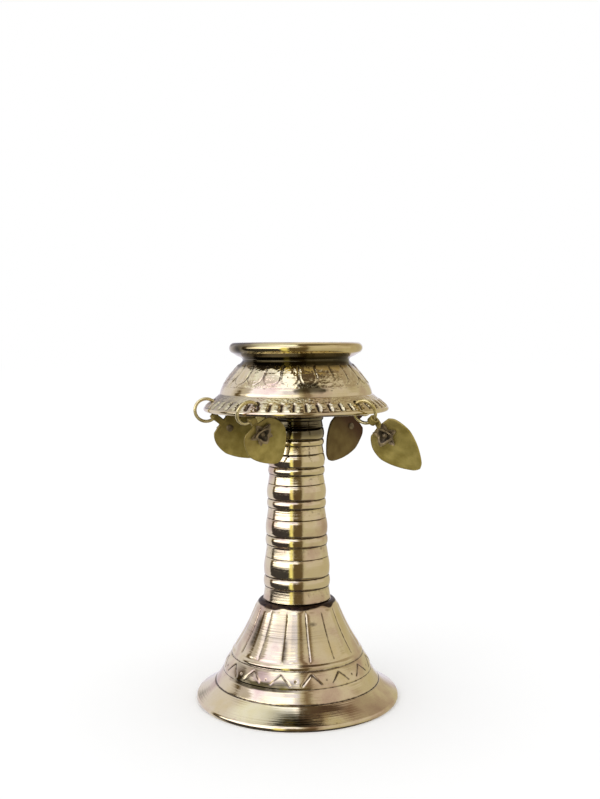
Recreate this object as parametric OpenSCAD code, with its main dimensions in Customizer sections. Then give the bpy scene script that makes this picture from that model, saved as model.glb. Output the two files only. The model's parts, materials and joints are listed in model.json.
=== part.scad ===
// Brass pedestal oil lamp with leaf pendants hung on wire rings around its canopy.
// Millimetres, +Z up, origin at the centre of the face that the lamp stands on.

/* [Foot] */
// Diameter of the foot across its flange
foot_d = 94; // [84:1:110]
// Height of the foot from the table to the seat of the stem
foot_h = 46; // [40:1:60]
// Height of the rounded edge of the flange
rim_h = 2.4; // [1.8:0.2:4]
// Diameter where the bell meets the flange
bell_d = 69.6; // [64:0.4:74]
// Height at which the bell meets the flange
flange_h = 13; // [10:0.2:15]
// Height of the plain band that carries the chevrons
band_h = 8.2; // [6:0.2:11]
// How far the plain band swells beyond the cone of the bell
band_swell = 0.7; // [0:0.1:1.2]
// Height of the ridge above the plain band
ridge_h = 2.2; // [1.4:0.2:3]
// How far the ridge stands out of the bell
ridge_proud = 0.5; // [0.2:0.1:1]
// Height of the rounded shoulder at the top of the bell
bell_shoulder = 4.6; // [3:0.2:7]
// Wall of the foot
foot_wall = 2.6; // [2:0.2:3.4]
// Thickness of the web that seats the stem
seat_t = 8; // [6:0.5:11]
// Number of petals cut into the bell
petals = 15; // [10:1:22]
// Width of the groove between two petals
petal_groove = 1.1; // [0.6:0.1:1.6]

/* [Stem] */
// Height of the stem between its two seats
stem_h = 90; // [75:1:130]
// Diameter of the stem under the canopy
stem_top_d = 25; // [22:0.5:28]
// Diameter of the stem on the foot
stem_foot_d = 31.8; // [29:0.2:34]
// Number of turned sections, each a band, a ring and a cove
turnings = 6; // [3:1:8]
// How much taller each section is than the one above it, as a share of the top one
turning_growth = 0.2; // [0:0.02:0.3]
// Depth of the grooves between the turnings
groove_depth = 0.6; // [0.3:0.1:1]
// Diameter of the spigots at both ends of the stem
spigot_d = 13; // [11:0.5:16]
// Length of the upper spigot
upper_spigot = 10; // [7:0.5:12]
// Diameter of the cored hole through the stem
core_d = 8; // [5:0.5:9]

/* [Bowl head] */
// Diameter of the lip
lip_d = 61.4; // [58:0.2:68]
// Height of the rolled lip
lip_h = 5; // [3.6:0.2:6]
// Height of the lip above the seat of the stem
head_h = 29; // [27:0.5:33]
// Diameter of the neck under the lip
neck_d = 49.2; // [47:0.2:52]
// Drop from the top of the lip to the neck
neck_drop = 8; // [7:0.2:9]
// Diameter at the top of the plain fillet
fillet_d = 67.4; // [63:0.2:70]
// Drop from the top of the lip to the fillet
fillet_drop = 19.4; // [18:0.2:21]
// Height of the plain fillet
fillet_h = 4; // [3:0.2:4.6]
// How far the fillet stands out of the shoulder
fillet_proud = 0.5; // [0.2:0.1:0.8]
// Diameter of the canopy across its edge
canopy_d = 85.4; // [82:0.2:90]
// Drop from the top of the lip to the edge of the canopy
canopy_drop = 31.4; // [29:0.2:34]
// Wall of the shoulder and canopy
head_wall = 2.2; // [1.8:0.1:2.6]
// Diameter of the floor of the bowl
floor_d = 39; // [32:0.5:41]
// Depth of the bowl
bowl_depth = 10.8; // [9:0.2:12]
// Thickness of the floor of the bowl
floor_t = 2.6; // [2:0.2:4]
// Diameter of the inner engraved circle on the floor
circle_d = 32.6; // [24:0.2:36]
// Width of the engraved circles
circle_w = 0.5; // [0.3:0.1:0.8]
// Number of lobes along the edge of the canopy
lobes = 48; // [30:1:60]
// Width of the notch between two lobes
lobe_notch = 1.5; // [0.8:0.1:2]
// Length of the lobes up the canopy
lobe_l = 4; // [3:0.2:4.8]
// Width of the plain rim below the lobes
lobe_rim = 1.4; // [1:0.1:2]

/* [Pendants] */
// Diameter of the wire of a ring
wire_d = 1.5; // [1.2:0.1:1.6]
// Diameter of a ring at the middle of its wire
ring_d = 10.2; // [9.8:0.1:10.8]
// Diameter of the hole that a ring goes through
ring_hole_d = 3.2; // [3.1:0.1:3.6]
// Distance from that hole to the edge of the canopy
hole_inset = 6; // [5.6:0.1:6.4]
// Length of a leaf from the middle of its eye to its tip
leaf_l = 29; // [20:0.2:32]
// Width of a leaf
leaf_w = 20.5; // [15:0.5:24]
// Thickness of a leaf
leaf_t = 1; // [0.8:0.1:1.4]
// Width of the stalk of a leaf
stalk_w = 3; // [2.4:0.1:4]
// Length of the stalk below the eye
stalk_l = 2.8; // [2.4:0.2:5]
// Length of the rolled eye of a leaf
eye_l = 3; // [2:0.1:3.4]
// Wall of the rolled eye
eye_wall = 0.8; // [0.6:0.1:1]
// Clearance between the wire and the eye
eye_gap = 0.5; // [0.4:0.05:0.6]
// Diameter of the flower on a leaf
flower_d = 12.4; // [9:0.2:14]
// Number of petals of the flower
flower_petals = 5; // [4:1:8]
// Thickness of the flower
flower_t = 1.8; // [1.4:0.1:2.4]
// Diameter of the rivet that holds the flower
rivet_d = 2; // [1.4:0.1:2.4]
// Diameter of the domed head of the rivet
rivet_head_d = 3.8; // [3.2:0.1:4.4]

/* [Hidden] */
$fn = 64;

brass = "goldenrod";
brass_wire = "khaki";
brass_leaf = "darkkhaki";
fit_gap = 0.1;
curve_steps = 8;

seat_z = foot_h;
hub_z = seat_z + stem_h;
lip_z = hub_z + head_h;
seat_margin = 0.6;
seat_d = stem_foot_d + 2 * seat_margin;

// Curves: a value part of the way between two, a quadratic Bezier and an arc of a circle
function mix(a, b, t) = a + (b - a) * t;
function bend(a, b, c, t) = mix(mix(a, b, t), mix(b, c, t), t);
function curve(a, b, c, steps = curve_steps) = [for (i = [0:steps]) bend(a, b, c, i / steps)];
function arc(centre, r, from, to, steps = curve_steps) =
    [for (i = [0:steps]) centre + r * [cos(mix(from, to, i / steps)), sin(mix(from, to, i / steps))]];
// The same Bezier moved inwards by a wall
function heading(a, b, c, t) = let (v = mix(b - a, c - b, t)) v / norm(v);
function inner_curve(a, b, c, wall, steps = curve_steps) =
    [for (i = [0:steps]) let (t = i / steps, v = heading(a, b, c, t))
        bend(a, b, c, t) + wall * [v[1], -v[0]]];
function backwards(points) = [for (i = [len(points) - 1:-1:0]) points[i]];

// Bell of the foot: a straight cone between the flange and the shoulder
bell_low = [bell_d / 2, flange_h];
bell_high = [seat_d / 2 + bell_shoulder * 0.7, foot_h - bell_shoulder];
function bell_r(z) = mix(bell_low[0], bell_high[0], (z - bell_low[1]) / (bell_high[1] - bell_low[1]));
ridge_z = flange_h + band_h;
bell_slope = atan2(bell_low[0] - bell_high[0], bell_high[1] - bell_low[1]);
foot_r = foot_d / 2;
// How far the first groove is turned from the X axis, as a share of a petal
petal_turn = 0.3;
rim_inset = 0.5;

function foot_outside() = concat(
    [[foot_r - rim_inset - 0.4, 0]],
    curve([foot_r - rim_inset, 0], [foot_r + rim_inset, rim_h * 0.45], [foot_r - rim_inset, rim_h]),
    curve([foot_r - rim_inset - 0.3, rim_h + 0.1],
          [mix(bell_low[0], foot_r, 0.25), mix(rim_h, flange_h, 0.45)],
          [bell_low[0] + 0.5, flange_h - 0.4]),
    [for (i = [0:curve_steps]) let (t = i / curve_steps, z = flange_h + band_h * t)
        [bell_r(z) + band_swell * sin(180 * t), z]],
    curve([bell_r(ridge_z + 0.1), ridge_z + 0.1],
          [bell_r(ridge_z + ridge_h / 2) + 2 * ridge_proud, ridge_z + ridge_h / 2],
          [bell_r(ridge_z + ridge_h), ridge_z + ridge_h], 6),
    curve(bell_high, [mix(seat_d / 2, bell_high[0], 0.55), foot_h - 0.4], [seat_d / 2, foot_h]));

function foot_inside() = let (inset = foot_wall / cos(bell_slope))
    [[spigot_d / 2 + fit_gap, foot_h],
     [spigot_d / 2 + fit_gap, foot_h - seat_t],
     [bell_r(foot_h - seat_t) - inset, foot_h - seat_t],
     [bell_r(flange_h) - inset, flange_h],
     [bell_low[0] - inset + 1, flange_h - foot_wall],
     [foot_r - foot_wall - 2, rim_h * 0.5],
     [foot_r - foot_wall - 1.4, 0]];

// One groove between two petals, sunk into the cone
module petal_cut() {
    low = ridge_z + ridge_h + 1;
    high = foot_h - bell_shoulder - 0.6;
    translate([bell_r(low) + petal_groove * 0.2, 0, low])
        rotate([0, -bell_slope, 0])
            cylinder(d = petal_groove, h = (high - low) / cos(bell_slope), $fn = 24);
}

module foot() color(brass) difference() {
    rotate_extrude() polygon(concat(foot_outside(), foot_inside()));
    for (i = [0:petals - 1])
        rotate((i + petal_turn) * 360 / petals) petal_cut();
}

// Stem: a slender flare, cut into sections that grow towards the foot
function stem_flare(z) = mix(stem_top_d, stem_foot_d, pow(max(hub_z - z, 0) / stem_h, 1.5)) / 2;
function turning_sum(i) = i + turning_growth * i * (i - 1) / 2;
function turning_top(i) = hub_z - stem_h * turning_sum(i) / turning_sum(turnings);

// Shares of one section: the end of its band, the start and end of its ring, the start and end of its cove.
// Bands, rings and coves swell and sink by shares of the groove's depth.
section_marks = [0.4, 0.46, 0.65, 0.69, 0.97];
function turning_shape() = let (m = section_marks) concat(
    [for (k = [0:5]) [m[0] * k / 5, groove_depth * (0.6 * sin(36 * k) - 0.15)]],
    [[(m[0] + m[1]) / 2, -groove_depth]],
    [for (k = [0:4]) [mix(m[1], m[2], k / 4), groove_depth * (0.65 * sin(45 * k) - 0.3)]],
    [[(m[2] + m[3]) / 2, -groove_depth]],
    [for (k = [0:5]) [mix(m[3], m[4], k / 5), groove_depth * (0.75 * pow(k / 5, 1.4) - 1)]],
    [[(m[4] + 1) / 2, -groove_depth]]);
function turning(i) = [for (p = turning_shape())
    let (z = mix(turning_top(i), turning_top(i + 1), p[0])) [stem_flare(z) + p[1], z]];

module stem() color(brass) rotate_extrude() polygon(concat(
    [[core_d / 2, hub_z + upper_spigot],
     [spigot_d / 2, hub_z + upper_spigot],
     [spigot_d / 2, hub_z]],
    [for (i = [0:turnings - 1]) each turning(i)],
    [[stem_foot_d / 2, seat_z],
     [spigot_d / 2, seat_z],
     [spigot_d / 2, seat_z - seat_t],
     [core_d / 2, seat_z - seat_t]]));

// Bowl head: lip, neck, shoulder, fillet and canopy outside, bowl and hub inside
lip_r = lip_d / 2;
neck_r = neck_d / 2;
neck_z = lip_z - neck_drop;
fillet_r = fillet_d / 2;
fillet_z = lip_z - fillet_drop;
fillet_low = [fillet_r + 1.4, fillet_z - fillet_h];
shoulder = [[neck_r + 1.2, neck_z - 1.6],
            [mix(neck_r, fillet_r, 0.64), mix(neck_z, fillet_z, 0.52)],
            [fillet_r, fillet_z]];
// Middle of the canopy's rounded edge, the slope of the canopy, and its directions down and out
edge = [canopy_d / 2 - head_wall / 2, lip_z - canopy_drop + head_wall / 2];
edge_run = edge - fillet_low;
slope = -atan2(edge_run[1], edge_run[0]) - asin(head_wall / 2 / norm(edge_run));
down = [cos(slope), -sin(slope)];
out = [sin(slope), cos(slope)];
bowl_z = lip_z - bowl_depth;
under_z = bowl_z - floor_t;
socket_depth = upper_spigot + 0.6;

function engraved(r) = [[r - circle_w / 2, bowl_z], [r, bowl_z - circle_w / 2], [r + circle_w / 2, bowl_z]];

function head_outside() = concat(
    [[0, bowl_z]],
    engraved(circle_d / 2),
    engraved(floor_d / 2),
    curve([floor_d / 2 + circle_w, bowl_z + 0.1], [neck_r - head_wall - 0.2, bowl_z + 2],
          [lip_r - lip_h * 0.55, lip_z - 0.7]),
    arc([lip_r - lip_h / 2, lip_z - lip_h / 2], lip_h / 2, 100, -75),
    curve([neck_r + 0.9, neck_z + 0.9], [neck_r - 0.3, neck_z], [neck_r + 0.4, neck_z - 0.8], 4),
    curve(shoulder[0], shoulder[1], shoulder[2]),
    curve([fillet_r + fillet_proud, fillet_z - 0.2],
          [fillet_r + 2.2 * fillet_proud + 0.5, fillet_z - fillet_h / 2],
          [fillet_low[0] + fillet_proud * 0.6, fillet_low[1] + 0.3], 5),
    [fillet_low],
    arc(edge, head_wall / 2, 90 - slope, -90 - slope));

function head_inside() = concat(
    [fillet_low - out * head_wall],
    [for (p = backwards(inner_curve(shoulder[0], shoulder[1], shoulder[2], head_wall)))
        if (p[1] < under_z - 0.3) p],
    [[neck_r - 2, under_z],
     [stem_top_d / 2 + 0.8, under_z],
     [stem_top_d / 2, under_z - 0.8],
     [stem_top_d / 2, hub_z],
     [spigot_d / 2 + fit_gap, hub_z],
     [spigot_d / 2 + fit_gap, hub_z + socket_depth],
     [0, hub_z + socket_depth]]);

// Places a child in the middle of the canopy's wall, X down the slope, at a distance from its edge
module on_canopy(inset) {
    at = edge - (inset - head_wall / 2) * down;
    translate([at[0], 0, at[1]]) rotate([0, slope, 0]) children();
}

module lobe_cut() on_canopy(lobe_rim + lobe_l)
    translate([0, 0, head_wall / 2 + lobe_notch * 0.12])
        rotate([0, 90, 0]) cylinder(d = lobe_notch, h = lobe_l, $fn = 24);

module ring_hole() on_canopy(hole_inset)
    cylinder(d = ring_hole_d, h = head_wall * 4, center = true);

// Mark that the lathe centre leaves in the middle of the bowl
centre_mark_d = 1.8;
module centre_mark() translate([0, 0, bowl_z - 0.8])
    cylinder(d1 = 0.2, d2 = centre_mark_d, h = 0.9);

module bowl_head() color(brass) difference() {
    rotate_extrude() polygon(concat(head_outside(), head_inside()));
    centre_mark();
    for (i = [0:lobes - 1])
        rotate((i + 0.5) * 360 / lobes) lobe_cut();
    for (i = [1:pendants])
        rotate(pendant_angle(i)) ring_hole();
}

// Pendants: each ring goes through its hole and round the edge of the canopy
pendants = 6;
first_pendant = 15;
// How far each hole was drilled off the even spacing, as seen in the photo
hole_drift = [12, 4, -4, -12, -21, -12];
function pendant_angle(i) = first_pendant + (i - 1) * 360 / pendants + hole_drift[i - 1];
ring_r = ring_d / 2;
hole_c = edge - (hole_inset - head_wall / 2) * down;
ring_c = hole_c + ring_r * down;
// How far each ring has slewed round the axis of its hole
ring_slew = [0, 0, 0, 0, -36, 24];

// Places a child in a ring's own frame: the middle of the ring at the origin, X away from the lamp
module at_ring(i) rotate(pendant_angle(i)) translate([hole_c[0], 0, hole_c[1]])
    rotate(a = ring_slew[i - 1], v = [out[0], 0, out[1]])
        translate([ring_r * down[0], 0, ring_r * down[1]]) children();

module ring(i) color(brass_wire) at_ring(i)
    rotate([90, 0, 0]) rotate_extrude() translate([ring_r, 0]) circle(d = wire_d, $fn = 24);

// How far each leaf is swung from plumb, outwards positive: a tucked leaf's tip stands by the stem
tip_gap = 2.5;
tucked = -asin((ring_c[0] - stem_top_d / 2 - tip_gap) / (ring_r + leaf_l));
leaf_swing = [-42, -12, tucked, tucked, tucked + 4, 40];
// Side of each leaf that carries the flower: 1 is ahead of the leaf and -1 behind it, going round
flower_side = [1, -1, -1, -1, 1, -1];

// Places a child in a leaf's own frame: the eye at the origin, the leaf hanging down, X outwards
module at_leaf(i) at_ring(i) rotate([0, -leaf_swing[i - 1], 0]) translate([0, 0, -ring_r]) children();

// Half outline of a leaf: stalk, broad shoulder and drawn-in tip
eye_r = wire_d / 2 + eye_gap;
wide_at = 0.42;
wide_z = -mix(stalk_l, leaf_l, wide_at);
function leaf_half() = concat(
    [[stalk_w / 2, -eye_r - eye_wall / 2]],
    curve([stalk_w / 2, -stalk_l], [leaf_w * 0.5, -stalk_l - 0.6], [leaf_w / 2, wide_z]),
    curve([leaf_w / 2 - 0.1, wide_z - 1], [leaf_w * 0.4, mix(wide_z, -leaf_l, 0.54)], [0.6, -leaf_l]));
function mirrored(points) = [for (p = backwards(points)) [-p[0], p[1]]];

flower_drop = eye_r + eye_wall + flower_d / 2 + 2 * fit_gap;
module at_flower(i) at_leaf(i) translate([0, 0, -flower_drop])
    rotate([-90 * flower_side[i - 1], 0, 0]) children();

module leaf(i) color(brass_leaf) difference() {
    at_leaf(i) {
        rotate([90, 0, 0]) linear_extrude(leaf_t, center = true)
            polygon(concat(leaf_half(), mirrored(leaf_half())));
        rotate([0, 90, 0]) cylinder(r = eye_r + eye_wall, h = eye_l, center = true);
    }
    at_leaf(i) rotate([0, 90, 0]) cylinder(r = eye_r, h = eye_l * 2, center = true);
    at_flower(i) cylinder(d = rivet_d + 2 * fit_gap, h = leaf_t * 4, center = true);
}

// Flower: round petals cut from a shallow dome, lying on the leaf
petal_d = flower_d * 0.4;
dome_r = flower_d * 0.8;
module flower_petal() {
    translate([flower_d / 2 - petal_d / 2, 0]) circle(d = petal_d);
    polygon([[0, -petal_d * 0.3], [flower_d / 2 - petal_d / 2, -petal_d * 0.48],
             [flower_d / 2 - petal_d / 2, petal_d * 0.48], [0, petal_d * 0.3]]);
}

module flower(i) color(brass) at_flower(i) translate([0, 0, leaf_t / 2]) difference() {
    intersection() {
        linear_extrude(flower_t) for (k = [0:flower_petals - 1])
            rotate(k * 360 / flower_petals + 90) flower_petal();
        translate([0, 0, flower_t - dome_r + 0.3]) sphere(r = dome_r);
    }
    cylinder(d = rivet_d + 2 * fit_gap, h = flower_t * 4, center = true);
}

// Rivet: a domed head on the flower, a shank through flower and leaf, a hammered tail behind
rivet_tail = 0.5;
module rivet(i) color(brass) at_flower(i) {
    translate([0, 0, leaf_t / 2 + flower_t]) intersection() {
        cylinder(d = rivet_head_d, h = rivet_head_d);
        sphere(d = rivet_head_d);
    }
    translate([0, 0, -leaf_t / 2 - rivet_tail / 2])
        cylinder(d = rivet_d, h = leaf_t + flower_t + rivet_tail / 2 + 0.4);
    translate([0, 0, -leaf_t / 2 - rivet_tail]) cylinder(d = rivet_d * 1.6, h = rivet_tail);
}

foot();
stem();
bowl_head();
ring(1);  // ring_1
ring(2);  // ring_2
ring(3);  // ring_3
ring(4);  // ring_4
ring(5);  // ring_5
ring(6);  // ring_6
leaf(1);  // leaf_1
leaf(2);  // leaf_2
leaf(3);  // leaf_3
leaf(4);  // leaf_4
leaf(5);  // leaf_5
leaf(6);  // leaf_6
flower(1);  // flower_1
flower(2);  // flower_2
flower(3);  // flower_3
flower(4);  // flower_4
flower(5);  // flower_5
flower(6);  // flower_6
rivet(1);  // rivet_1
rivet(2);  // rivet_2
rivet(3);  // rivet_3
rivet(4);  // rivet_4
rivet(5);  // rivet_5
rivet(6);  // rivet_6
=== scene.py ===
"""Brass pedestal oil lamp with leaf pendants on wire rings: its surfaces, finishes and studio.

Shapes are worked out in millimetres in the lamp's own frame and become metres in their meshes.
Profiles are points (radius, height). Angles are in degrees, and those round the lamp start at its X axis.
"""
import json

import bpy
import numpy as np
from mathutils import Matrix, Vector


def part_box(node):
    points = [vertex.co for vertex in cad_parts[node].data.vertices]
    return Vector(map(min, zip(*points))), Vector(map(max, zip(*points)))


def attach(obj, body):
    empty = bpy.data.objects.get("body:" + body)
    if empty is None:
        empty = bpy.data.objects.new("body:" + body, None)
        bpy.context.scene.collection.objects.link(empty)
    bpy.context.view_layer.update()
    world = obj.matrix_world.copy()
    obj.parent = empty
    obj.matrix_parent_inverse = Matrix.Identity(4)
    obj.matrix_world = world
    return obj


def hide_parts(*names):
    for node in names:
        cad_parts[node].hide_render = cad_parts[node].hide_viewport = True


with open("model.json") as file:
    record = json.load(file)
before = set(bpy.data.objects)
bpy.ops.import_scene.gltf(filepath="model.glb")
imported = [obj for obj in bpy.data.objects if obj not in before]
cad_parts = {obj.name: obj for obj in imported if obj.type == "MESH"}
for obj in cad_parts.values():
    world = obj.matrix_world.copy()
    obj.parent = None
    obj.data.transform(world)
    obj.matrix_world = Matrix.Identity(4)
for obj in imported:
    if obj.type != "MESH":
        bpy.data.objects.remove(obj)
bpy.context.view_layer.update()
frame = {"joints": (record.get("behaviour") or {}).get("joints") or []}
MM = 0.001
UP = np.array([0.0, 0.0, 1.0])
ON_AXIS = 1e-6
joints = {joint["name"]: joint for joint in frame["joints"]}


def span(node):
    """Lowest and highest corner of a CAD node, in millimetres."""
    low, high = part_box(node)
    return np.array(low) / MM, np.array(high) / MM


# Foot: its outer size comes from the frame
FOOT_R = min(span("foot")[1][:2])
FOOT_H = span("foot")[1][2]
FOOT_WALL = 2.9
RIM_H = 2.4
RIM_INSET = 0.5
RIM_W = 4.0
BELL_LOW = np.array([34.8, 13.0])
BELL_HIGH = np.array([19.72, 41.4])
FLANGE_H = BELL_LOW[1]
BAND_H = 8.2
BAND_SWELL = 0.7
RIDGE_Z = FLANGE_H + BAND_H
RIDGE_H = 2.2
RIDGE_TOP = RIDGE_Z + RIDGE_H
RIDGE_PROUD = 0.5

# Chasing on the foot: the width of a line is half its real width
PETALS = 15
PETAL_TURN = 0.3
PETAL_COLUMNS = 32
PETAL_LINE_W = 0.3
PETAL_PILLOW = 0.3
CONE_HOLLOW = 0.55
CHASE_DEPTH = 0.28
CHASE_DARK = 0.75
CHEVRON_TOP = 6.7
CHEVRON_DROP = 4.0
CHEVRON_HALF = 4.4
CHEVRON_LINE_W = 0.4
DOT_UP = 4.2
DOT_R = 0.45
BAND_LINES = (FLANGE_H + 0.9, RIDGE_Z - 0.25)
BAND_LINE_W = 0.24
BAND_LINE_DEPTH = 0.22
BAND_LINE_DARK = 0.7
COLLAR_START = BELL_LOW[0] + 0.5
COLLAR_END = BELL_LOW[0] + 3.4
COLLAR_SWELL = 0.12
# Each line on the flange: radius, width and depth
FLANGE_LINES = ((COLLAR_END, 0.26, 0.3), (FOOT_R - 0.95, 0.16, 0.14))

# Marks on the foot, by the angle round the lamp: a smear of age, and painted dark reflections on the flange,
# band and cone
SMEAR_ANGLE = 279.0
SMEAR_DROP = 7.4
FLANGE_REFLECTION_ANGLE = 253.0
BLOTCH_ANGLE = 216.0
BELT_ANGLE = 232.0
BELT_SPREAD = 34 * np.sqrt(2)
BELT_W = 3.6
# Each painted dark reflection streak down the cone: angle, half width in degrees, and where it ends and
# starts as shares of the way up the bell
REFLECTION_STREAKS = ((BELT_ANGLE - 24, 4.5, 0.2, 0.76), (BELT_ANGLE + 16, 2.8, 0.02, 0.45))

# Stem, between its seat on the foot and the hub of the bowl head
SEAT_R = 16.5
SPIGOT_R = 6.5
SOCKET_R = SPIGOT_R + 0.1
CORE_R = 4.0
UPPER_SPIGOT = 10.0
SEAT_T = FOOT_H - span("stem")[0][2]
HUB_Z = span("stem")[1][2] - UPPER_SPIGOT
STEM_TOP_R = 12.5
STEM_FOOT_R = 15.9
STEM_COLUMNS = 192
FLARE_POWER = 1.5
TURNINGS = 6
TURNING_GROWTH = 0.2
GROOVE_DEPTH = 0.6
WAVER = 0.05

# Bowl head, from the lip down to the rounded edge of the canopy
LIP_Z = span("bowl_head")[1][2]
LIP_R = 30.7
LIP_H = 5.0
NECK_R = 24.6
NECK_Z = LIP_Z - 8.0
FILLET_R = 33.7
FILLET_Z = LIP_Z - 19.4
FILLET_H = 4.0
HEAD_WALL = 2.2
CANOPY_R = min(span("bowl_head")[1][:2])
FLOOR_R = 19.5
CIRCLE_R = 16.3
CIRCLE_W = 0.5
BOWL_Z = LIP_Z - 10.8
UNDER_Z = BOWL_Z - 2.6
SOCKET_TOP = HUB_Z + UPPER_SPIGOT + 0.6

# Chasing on the bowl head: where a tongue bends in and ends is a share of the way down the shoulder
TONGUES = 24
TONGUE_HALF = 0.47
TONGUE_BEND = 0.58
TONGUE_END = 0.92
TONGUE_RISE = 0.12
OUTLINE_W = 0.3
OUTLINE_DEPTH = 0.26
FINE_DENT = 0.06
BROAD_DENT = 0.16
SHOULDER_ROWS = 34
SHOULDER_RUN = 12.7
LOBES = 48
LOBE_COLUMNS = 12
LOBE_NOTCH = 1.6
LOBE_L = 5.2
LOBE_RIM = 1.4
LOBE_BEAD = 0.32
NOTCH_DEPTH = 0.62
GROUND_END = 10.0
GROUND_DENT = 0.07
DARK_SIDE_ANGLE = 204.0
DARK_PATCH_ANGLE = 272.0

# Ring holes: HOLE_ROW rows of the canopy's grid lie between the middle of its edge and the middle of a hole
RING_HOLE_R = 1.6
HOLE_INSET = 4.9
HOLE_ROW = 12
HOLE_BLOCK = 4
CANOPY_ROWS = 24
ROW_PITCH = HOLE_INSET / HOLE_ROW

# Pendants
PENDANTS = range(1, 7)
WIRE_D = 1.5
RING_R = (span("ring_1")[1][2] - span("ring_1")[0][2] - WIRE_D) / 2
RING_STEPS = 96
WIRE_STEPS = 20
# Butt joint of a ring: its place in radians from the level line, and the groove along it
BUTT_TURN = 2.0
BUTT_W = 0.22
BUTT_DEPTH = 0.12
LEAF_L = 29.0
LEAF_W = 20.5
LEAF_T = 1.0
LEAF_CUP = 1.1
LEAF_TIP_R = 1.5
LEAF_OUT_LIMIT = 80.0
BLADE_ROWS = 44
# How far each leaf has turned brown, from 0 to 1: leaf 1's is painted shade under the canopy, the others' age
LEAF_AGE_AND_SHADE = (0.7, 0.1, 0.1, 0.0, 0.05, 0.0)
STALK_L = 2.8
STALK_W = 3.0
# The sheet steps aside to the eye, from STEP_L below the stalk's end to STEP_TOP
STEP_L = 2.6
STEP_TOP = -0.9
EYE_R = WIRE_D / 2 + 0.5
EYE_WALL = 0.8
FLOWER_R = 6.2
FLOWER_DROP = EYE_R + EYE_WALL + FLOWER_R + 0.2
RIVET_HEAD_R = 1.4
RIVET_HEAD_Z = 0.8
RIVET_SHANK_R = 0.95
RIVET_TAIL_R = 1.6
RIVET_COLUMNS = 28


# Curves and profiles

def bend(a, b, c, count):
    """Quadratic Bezier from a to c with control point b, as count points."""
    t = np.linspace(0, 1, count)[:, None]
    return (1 - t) ** 2 * np.array(a) + 2 * t * (1 - t) * np.array(b) + t * t * np.array(c)


def run(a, b, count):
    """Straight run from a to b, as count points."""
    return np.linspace(a, b, count)


def arc(centre, radius, start, end, count):
    """Arc of a circle between two angles, as count points."""
    angle = np.radians(np.linspace(start, end, count))
    return np.array(centre) + radius * np.stack([np.cos(angle), np.sin(angle)], 1)


def full_turn(count):
    """Angles in radians of count even steps round a circle."""
    return np.arange(count) * 2 * np.pi / count


def mix(a, b, t):
    """The value a share t of the way from a to b."""
    return a + (b - a) * t


def smooth(low, high, x):
    """Smooth step: 0 below low, 1 above high, and 3t2 - 2t3 between them."""
    t = np.clip((x - low) / (high - low), 0, 1)
    return t * t * (3 - 2 * t)


def groove(distance, half_width):
    """Cross-section of a chased line: a bell curve of the distance from its middle."""
    return np.exp(-(distance / half_width) ** 2)


def nearest(angle, count, phase=0.0):
    """Angle in degrees to the nearest of count even marks, the first one a share phase of a step round."""
    step = 360.0 / count
    return (angle - phase * step + step / 2) % step - step / 2


def hammered(shape, cell, seed):
    """Random heights from -1 to 1 on a coarse grid that closes round the lamp, eased between its knots.

    Shape and cell are the size of the whole and of one coarse cell, in rows and columns.
    """
    knots_down = int(np.ceil(shape[0] / cell[0])) + 2
    knots_round = shape[1] // cell[1]
    knots = np.random.default_rng(seed).uniform(-1, 1, (knots_down, knots_round))
    down = np.arange(shape[0])[:, None] / cell[0]
    around = np.arange(shape[1])[None, :] / cell[1]
    i, j = down.astype(int), around.astype(int) % knots_round
    s, t = smooth(0, 1, down % 1), smooth(0, 1, around % 1)
    upper = mix(knots[i, j], knots[i, (j + 1) % knots_round], t)
    lower = mix(knots[i + 1, j], knots[i + 1, (j + 1) % knots_round], t)
    return mix(upper, lower, s)


class Turned:
    """A lathe-turned piece: a profile of named zones, and relief and finish on its grid of rows and columns.

    Relief is in millimetres along the profile's normal, and the arrays of finish and painted shade run from 0
    to about 1.
    """

    def __init__(self, columns, **zones):
        ends = np.cumsum([len(points) for points in zones.values()])
        self.rows = {name: slice(end - len(zones[name]), end) for name, end in zip(zones, ends)}
        self.profile = np.vstack(list(zones.values()))
        self.shape = (len(self.profile), columns)
        self.angle = np.arange(columns) * 360 / columns
        self.r, self.z = self.profile.T[:, :, None]
        self.relief, self.patina, self.tarnish, self.stipple, self.rubbed = np.zeros((5, *self.shape))

    def zone(self, first, last=None):
        """Rows from the start of one zone to the end of the same or of a later one."""
        return slice(self.rows[first].start, self.rows[last or first].stop)

    def away(self, start):
        """Angle round the lamp from a start, between -180 and 180."""
        return nearest(self.angle - start, 1)

    def across(self, rows, count, phase):
        """Distance round the lamp in millimetres from the nearest of count even marks."""
        return np.radians(nearest(self.angle, count, phase)) * self.r[rows]

    def chase(self, rows, mark, depth, dark):
        """Cuts a mark, a share from 0 to 1 at each point, to a depth, and lets patina gather in it."""
        self.relief[rows] -= depth * mark
        self.patina[rows] += dark * mark


# Meshes

def turned_points(profile, relief):
    """Surface of revolution: each profile point at each angle, moved along its normal by the relief."""
    ahead, behind = np.roll(profile, -1, 0), np.roll(profile, 1, 0)
    if profile[0, 0] < ON_AXIS:
        ahead[-1], behind[0] = profile[-1], profile[0]
    tangent = ahead - behind
    normal = np.stack([-tangent[:, 1], tangent[:, 0]], 1)
    normal /= np.linalg.norm(normal, axis=1)[:, None]
    x, y = profile.T
    if np.sum(x * np.roll(y, -1) - np.roll(x, -1) * y) > 0:
        normal = -normal
    section = profile[:, None, :] + relief[:, :, None] * normal[:, None, :]
    angle = full_turn(relief.shape[1])
    return np.stack([section[..., 0] * np.cos(angle), section[..., 0] * np.sin(angle), section[..., 1]], 2)


def grid_quads(rows, columns, wrap_rows):
    """Quads over a grid whose columns close on themselves, and whose rows do too if wrap_rows."""
    index = np.arange(rows * columns).reshape(rows, columns)
    if wrap_rows:
        index = np.vstack([index, index[:1]])
    right = np.roll(index, -1, 1)
    return np.stack([index[:-1], right[:-1], right[1:], index[1:]], 2).reshape(-1, 4)


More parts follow.
